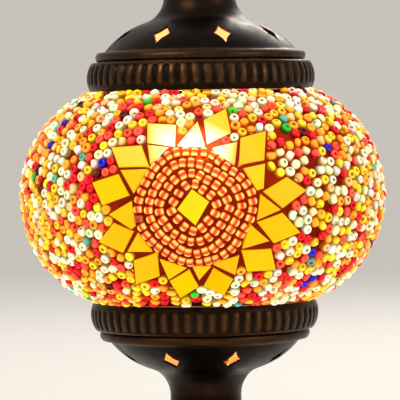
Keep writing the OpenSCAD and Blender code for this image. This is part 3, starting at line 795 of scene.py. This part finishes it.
PALETTE = [
    # name, share, colour when lit, strength of its glow
    ("cream", 0.200, (255, 240, 204), 1.0),
    ("clear", 0.120, (240, 240, 214), 0.95),
    ("yellow", 0.195, (255, 208, 44), 1.0),
    ("amber", 0.155, (255, 166, 36), 1.0),
    ("peach", 0.080, (255, 198, 124), 1.0),
    ("coral", 0.085, (246, 84, 60), 1.0),
    ("red", 0.082, (226, 22, 34), 0.95),
    ("green", 0.006, (60, 204, 56), 0.85),
    ("teal", 0.012, (96, 184, 162), 0.8),
    ("cobalt", 0.007, (40, 36, 206), 0.85),
    ("brown", 0.008, (110, 28, 16), 0.6),
]
PALE = ("clear", "cream")
UPRIGHT = 0.58                 # share of the beads that sit nearly on end, with the bore outwards
LOOSE_BEAD = bead_template(16, 8, 0.25, 0.5)
radius = rng.normal(BEAD_R, 0.1, n).clip(1.6, 2.05) * MM
half_length = rng.normal(1.36, 0.12, n).clip(1.1, 1.6) * MM
lean = np.where(rng.random(n) < UPRIGHT, np.abs(rng.normal(0, 0.24, n)), rng.uniform(0.5, 1.5, n))
swing = rng.uniform(0, 2 * np.pi, n)
rest = radius * np.sin(lean) + half_length * np.cos(lean)
place, right, up, out = globe_point(azimuth, rise, np.minimum(rest + 0.05 * MM, 1.9 * MM))
axis = np.cos(lean)[:, None] * out
axis = axis + np.sin(lean)[:, None] * (np.cos(swing)[:, None] * right + np.sin(swing)[:, None] * up)

# Neighbours tend to share a colour, because the beads were pressed on by the handful.
patches = rng.normal(0, 1, (len(PALETTE), 5, 3)) * 110
phases = rng.uniform(0, 2 * np.pi, (len(PALETTE), 5))
field = np.sin(np.einsum("kfc,nc->nkf", patches, place) + phases[None]).mean(-1) * 2.2
weight = np.array([c[1] for c in PALETTE])[None] * np.exp(0.4 * field)
weight = np.cumsum(weight / weight.sum(1, keepdims=True), axis=1)
kind = (rng.random(n)[:, None] > weight).sum(1)

per = len(LOOSE_BEAD[0])
for i, (label, _, lit, strength) in enumerate(PALETTE):
    pick = kind == i
    m = int(pick.sum())
    verts, faces, rel, facing = bead_mesh(LOOSE_BEAD, place[pick], axis[pick], out[pick], radius[pick],
                                          half_length[pick])
    wall = np.clip(np.tile(LOOSE_BEAD[2], m) / 0.3, 0, 1)[:, None]  # 0 in the bore
    top = smooth_step(facing, 0.0, 0.95)[:, None] ** 1.2            # 1 where the bead faces outwards, lit in paint; towards 0 at its sides, in painted shade
    uneven = rng.normal(1.0, 0.08, (m, 1)) * rng.normal(1.0, (0.02, 0.06, 0.1), (m, 3))
    colour = np.clip(np.array(rgb(*lit)) * np.repeat(uneven, per, 0), 0, 1)
    painted_deep_shade = colour ** np.array([1.1, 2.4, 3.6])                      # painted shade: a deeper, darker copy of the colour for the bead's sides
    shaded = colour * top + painted_deep_shade * (1 - top)
    rim = np.clip(np.abs(verts[:, 2:] - GLOBE_Z) / 0.030, 0, 1)     # painted light: brighter towards the globe's open ends
    through = np.repeat(rng.uniform(0.25, 0.95, (m, 1)), per, 0)    # how much light comes through the bore
    bore = (colour * through + painted_deep_shade * (1 - through)) * through
    if label in PALE:                         # with a green-grey shadow down it
        bore = bore * np.array([0.62, 0.84, 0.72])
    # Painted glow, in painted shade at the bead's sides and down its bore, plus the painted hot spot; the base
    # colour takes the same painted shade
    glow = shaded * (0.2 + 0.8 * top) * wall + bore * (1 - wall)
    glow = glow * strength * (1.32 + 0.18 * rim) + hot_spot(verts)[:, None] * np.array([0.25, 0.14, 0.03])
    make(f"loose_beads_{label}", verts, faces, bead_glass.m, "globe", ["field_beads"],
         {"tint": shaded * (0.1 + 0.9 * top) * 0.2 * (0.2 + 0.8 * wall), "glow": glow})


# ------------------------------------------------------------ spun fittings

# A fitting's outside, in mm over its rim: the arcs of its band, its rolled bead and its dome, each as centre
# (radius, height), arc radius and top; the neck's cove as centre and arc radius; and the neck's radius.
RIM_R = 41.0
FITTING = [
    [RIM_R - 9.5, 4.5, 9.5, 10.2], [RIM_R - 5.4, 12, 2.2, 13.8], [RIM_R - 30.7, -4.5, 30.4, 25.3],
    [23.5, 34, 10.7], 12.8,
]
FOOT_R = 58.5
FOOT = [
    [FOOT_R - 10.5, 6, 10.5, 12.5], [FOOT_R - 6.1, 14.6, 2.4, 16.6], [FOOT_R - 46.5, -9.5, 47, 36.4],
    [23, 46.5, 10.2], 12.8,
]
FOOT_Z = 1.5 * MM              # the felt's thickness
WALL = 1.0                     # the sheet's thickness, mm
FLUTE_DEPTH = 0.75
STARS = 8


def outer_radius(p, z):
    """Radius of a stamped fitting's outside at height z over its rim, in mm."""
    *arcs, (cove_r, cove_z, cove_arc), neck_r = p
    found = low = 0.0
    for c_r, c_z, arc, high in arcs:
        if low - 1e-6 <= z <= high + 1e-6 and abs(z - c_z) <= arc:
            found = max(found, c_r + math.sqrt(arc * arc - (z - c_z) ** 2))
        low = high
    if z >= high - 1e-6:
        if z < cove_z:
            start = c_r + math.sqrt(arc ** 2 - (high - c_z) ** 2)
            edge = cove_r - math.sqrt(max(0.0, cove_arc ** 2 - (z - cove_z) ** 2))
            found = max(found, min(start, edge))
        else:
            found = max(found, neck_r)
    return found


def outline_of(p, z_from, z_to, step):
    """Outside profile as (radius, z) pairs in mm, with its corners softened."""
    cuts = sorted({z_from, z_to, *[arc[3] for arc in p[:3] if z_from < arc[3] < z_to]})
    points = []
    for a, b in zip(cuts, cuts[1:]):
        count = max(2, int(round((b - a) / step)))
        for i in range(count + 1):
            z = a + (b - a) * i / count
            points.append((outer_radius(p, min(max(z, a + 1e-4), b - 1e-4)), z))
    points = np.array(points)
    keep = [0] + [i for i in range(1, len(points)) if np.linalg.norm(points[i] - points[i - 1]) > 1e-3]
    points = points[keep]
    length = along_line(points)
    at = np.linspace(0, length[-1], int(length[-1] / step) + 1)
    points = np.stack([np.interp(at, length, points[:, 0]), np.interp(at, length, points[:, 1])], 1)
    for turn in range(36):                    # the dome runs into the neck's cove in one soft sweep
        soft = points.copy()
        soft[1:-1] = points[1:-1] * 0.5 + (points[:-2] + points[2:]) * 0.25
        share = 1.0 if turn < 2 else np.exp(-(((points[:, 1:] - p[2][3]) / 2.6) ** 2))
        points = points * (1 - share) + soft * share
    return points


def inward(points, wall):
    d = np.gradient(points, axis=0)
    d /= np.linalg.norm(d, axis=1)[:, None]
    return points - wall * np.stack([d[:, 1], -d[:, 0]], 1)


def lathe(profile, sides, flutes, flute_at):
    """Closed profile (radius, z in mm) turned about the axis, with flutes pressed where flute_at says.
    Gives its vertices, its faces and how much of each flute's ridge is at each vertex."""
    a = np.arange(sides) / sides * 2 * np.pi
    r = np.repeat(profile[:, :1], sides, 1)
    ridge = np.zeros_like(r)
    if flutes:
        wave = np.abs(np.cos(a * flutes / 2))
        r = r - FLUTE_DEPTH * flute_at[:, None] * (1 - wave[None] ** 0.8)
        ridge = flute_at[:, None] * wave[None] ** 3
    v = np.stack([r * np.cos(a), r * np.sin(a), np.repeat(profile[:, 1:], sides, 1)], -1) * MM
    return v.reshape(-1, 3), grid_faces(len(profile), sides, wrap_rows=True), ridge


def corner_wear(profile, outside):
    """Where the first points of a profile, its outside, turn a corner, so that it is rubbed bright."""
    d = np.gradient(profile, axis=0)
    bend = np.abs(np.gradient(np.unwrap(np.arctan2(d[:, 1], d[:, 0]))))
    bend[outside:] = 0
    return np.clip(bend * 2.2, 0, 1)


def spun(name, p, z_from, z_to, sides, flutes, place_z, flip, body, node, step=0.3):
    """A fitting's sheet from one height to another, patinated outside only, with any flutes on its band."""
    outside = outline_of(p, z_from, z_to, step)
    profile = np.concatenate([outside, inward(outside, WALL)[::-2]])
    band_top = p[0][3]
    at = smooth_step(profile[:, 1], 1.6, 3.0) * (1 - smooth_step(profile[:, 1], band_top - 1.9, band_top - 0.5))
    at[len(outside):] = 0
    v, f, ridge = lathe(profile, sides, flutes, at)
    wear = np.maximum(ridge * 0.55, corner_wear(profile, len(outside))[:, None] * 0.9).ravel()
    if flip:
        v, f = v * np.array([1, 1, -1]), f[:, ::-1]
    o = make(name, v + np.array([0, 0, place_z]), f, BRASS, body, [node], {"wear": wear})
    # the cap's inside takes the painted shade, the gallery's the paler inside brass, partly painted light
    o.data.materials.append(inside_painted_shade.m if body == "cap" else inside.m)
    row = np.arange(len(f)) // sides
    o.data.polygons.foreach_set(
        "material_index", ((row >= len(outside)) & (row < len(profile) - 1)).astype(np.int32))
    o.data.update()
    return o


def prism_faces(count, first=0):
    """Faces between an outline and its copy, whose vertices follow each other from first on."""
    low, high = range(first, first + count), range(first + count, first + 2 * count)
    after = [(j + 1) % count for j in range(count)]
    return [list(low)[::-1], list(high)] + [[low[j], low[k], high[k], high[j]] for j, k in enumerate(after)]


def star_prisms(p, flip, place_z, turned_by):
    """Cutters for the star piercings round a dome, as one mesh."""
    dome_r, dome_z, dome_arc = p[2][:3]
    w, h = 7.4, 12.4                          # a star's width and height, mm
    side_len = math.hypot(w, h) / 2
    hollow = side_len * 0.1                   # how far each side is bowed in
    arc = (side_len ** 2 / 4 + hollow ** 2) / (2 * hollow)
    corners = np.array([(w / 2, 0), (0, h / 2), (-w / 2, 0), (0, -h / 2)])
    flat = []
    for a, b in zip(corners, np.roll(corners, -1, 0)):
        mid = (a + b) / 2
        normal = np.array([b[1] - a[1], a[0] - b[0]]) / np.linalg.norm(b - a)
        normal *= np.sign(normal @ (mid / np.linalg.norm(mid)))
        for t in np.linspace(0.11, 0.89, 7):  # the tips are left blunt
            x = (t - 0.5) * side_len
            dip = math.sqrt(arc * arc - x * x) - (arc - hollow)
            flat.append(a + (b - a) * t - normal * dip)
    verts, faces = [], []
    rise = math.radians(54)
    for i in range(STARS):
        turn = math.radians(-90 + turned_by + (i + 0.5) * 360 / STARS)
        out = np.array([math.cos(turn) * math.cos(rise), math.sin(turn) * math.cos(rise), math.sin(rise)])
        right = np.array([-math.sin(turn), math.cos(turn), 0])
        up = np.cross(out, right)
        centre = np.array([math.cos(turn) * dome_r, math.sin(turn) * dome_r, dome_z])
        faces += prism_faces(len(flat), len(verts))
        for depth in (dome_arc - 4, dome_arc + 4):
            verts += [(centre + out * depth + right * x + up * y) * MM for x, y in flat]
    verts = np.array(verts)
    if flip:
        verts, faces = verts * np.array([1, 1, -1]), [f[::-1] for f in faces]
    return verts + np.array([0, 0, place_z]), faces


def cut(target, verts, faces):
    """Cuts a closed mesh out of target for good."""
    me = bpy.data.meshes.new("cutter")
    me.from_pydata(verts.tolist(), [], faces)
    cutter = add("cutter", me)
    mod = target.modifiers.new("cut", "BOOLEAN")
    mod.operation = "DIFFERENCE"
    mod.solver = "EXACT"
    mod.object = cutter
    bpy.context.view_layer.update()
    done = bpy.data.meshes.new_from_object(target.evaluated_get(bpy.context.evaluated_depsgraph_get()))
    target.modifiers.clear()
    target.data = done
    bpy.data.objects.remove(cutter)


def sharpen(o, degrees):
    """Smooth shading that stops at edges over this angle."""
    o.data.shade_smooth()
    o.data.set_sharp_from_angle(angle=math.radians(degrees))


for name, body, flip, place_z, node, turned_by in (
    ("cap", "cap", False, GLOBE_Z + RIM_Z, "cap_shell", -3.8),
    ("gallery", "lamp", True, GLOBE_Z - RIM_Z, "gallery_shell", -0.5),
):
    spun(f"{name}_fluted_band", FITTING, 0.0, 13.9, 720, 60, place_z, flip, body, node)
    dome = spun(f"{name}_pierced_dome", FITTING, 13.7, 38.0, 180, 0, place_z, flip, body, node, 0.5)
    cut(dome, *star_prisms(FITTING, flip, place_z, turned_by))
    sharpen(dome, 40)

band = spun("foot_fluted_band", FOOT, 0.0, 16.7, 1008, 84, FOOT_Z, False, "lamp", "foot_shell", 0.36)
spun("foot_dome", FOOT, 16.5, 48.5, 180, 0, FOOT_Z, False, "lamp", "foot_shell", 0.5)

# The cord bushing's place in the foot's band.
HOLE_R, HOLE_Z, HOLE_SIDES = 4.9, 8.7, 40
around = np.arange(HOLE_SIDES) / HOLE_SIDES * 2 * np.pi
disc = np.stack([HOLE_R * np.cos(around), HOLE_Z + HOLE_R * np.sin(around)], 1)
bore = [np.stack([disc[:, 0], np.full(HOLE_SIDES, y), disc[:, 1]], 1) for y in (50.0, 64.0)]
cut(band, np.concatenate(bore) * MM, [f[::-1] for f in prism_faces(HOLE_SIDES)])
sharpen(band, 40)

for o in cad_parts.values():
    if not o.hide_render:
        sharpen(o, 30)

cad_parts["bulb_glass"].visible_shadow = False
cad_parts["bulb_stem"].visible_shadow = False

glow_light = bpy.data.lights.new("bulb_light", "POINT")
glow_light.energy = 1.0
glow_light.color = rgb(255, 214, 160)
glow_light.shadow_soft_size = 0.006
glow_object = add("bulb_light", glow_light)
glow_object.location = (0, 0, GLOBE_Z + BULB_HEIGHT)
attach(glow_object, "bulb")

# --------------------------------------------------------------------- stage

FLOOR_R = 3.2                  # flat out to here, then swept up to a wall
SWEEP_R = 2.0
PAPER = rgb(228, 224, 217)
paper = Mat("studio_paper", PAPER, 0.9)
paper.emit(PAPER, 0.08)
profile = [(0.0, 0.0), (0.5, 0.0), (1.5, 0.0), (FLOOR_R, 0.0)]
profile += [(FLOOR_R + SWEEP_R * math.sin(t), SWEEP_R - SWEEP_R * math.cos(t))
            for t in np.linspace(0.1, math.pi / 2, 16)]
profile += [(FLOOR_R + SWEEP_R, 3.5), (FLOOR_R + SWEEP_R, 5.0)]
around = np.arange(96) / 96 * 2 * np.pi
verts = np.array([(r * math.cos(a) + 1e-6, r * math.sin(a), z) for r, z in profile for a in around])
me = bpy.data.meshes.new("studio_floor")
me.from_pydata(verts.tolist(), [], grid_faces(len(profile), 96).tolist())
me.materials.append(paper.m)
me.shade_smooth()
floor = add("studio_floor", me)
floor.location.z = -0.05 * MM             # just clear of the felt

world = bpy.data.worlds.new("studio")
bpy.context.scene.world = world
world.use_nodes = True
sky = world.node_tree.nodes["Background"]
sky.inputs["Color"].default_value = (*rgb(244, 246, 250), 1.0)
sky.inputs["Strength"].default_value = 0.75


def soft_light(name, place, target_z, size, energy, colour):
    """A round light that points at a height on the lamp's axis."""
    light = bpy.data.lights.new(name, "AREA")
    light.shape = "DISK"
    light.size = size
    light.energy = energy
    light.color = colour
    o = add(name, light)
    o.location = place
    o.rotation_mode = "QUATERNION"
    o.rotation_quaternion = (Vector((0, 0, target_z)) - Vector(place)).to_track_quat("-Z", "Y")


soft_light("key", (-1.1, -1.3, 1.5), 0.16, 0.9, 22, rgb(255, 248, 238))
soft_light("fill", (1.5, -0.9, 0.8), 0.16, 1.1, 9, rgb(240, 246, 255))
soft_light("back", (0.5, 1.7, 1.3), 0.18, 0.9, 14, rgb(255, 250, 244))

# -------------------------------------------------------------------- camera

CAMERA_AZIMUTH = math.radians(2.4)        # from the front towards the right
CAMERA_DISTANCE = 1.06
CAMERA_RISE = 0.0324                      # over the globe's middle, just under the upper rim
CAMERA_ROLL = math.radians(-0.95)
cam_data = bpy.data.cameras.new("camera")
cam_data.sensor_width = 36
cam_data.lens = 265
cam_data.clip_start, cam_data.clip_end = 0.01, 50
cam = add("camera", cam_data)
bpy.context.scene.camera = cam
aim = Vector((-0.001, 0, GLOBE_Z - 0.0018))
cam.location = (CAMERA_DISTANCE * math.sin(CAMERA_AZIMUTH), -CAMERA_DISTANCE * math.cos(CAMERA_AZIMUTH),
                GLOBE_Z + CAMERA_RISE)
cam.rotation_mode = "QUATERNION"
look = (aim - cam.location).to_track_quat("-Z", "Y")
cam.rotation_quaternion = look @ Matrix.Rotation(CAMERA_ROLL, 4, "Z").to_quaternion()

scene = bpy.context.scene
scene.cycles.use_denoising = True
scene.cycles.max_bounces = 8
scene.cycles.transmission_bounces = 8
scene.cycles.sample_clamp_indirect = 6.0
scene.view_settings.view_transform = "Standard"
scene.view_settings.exposure = 0.0
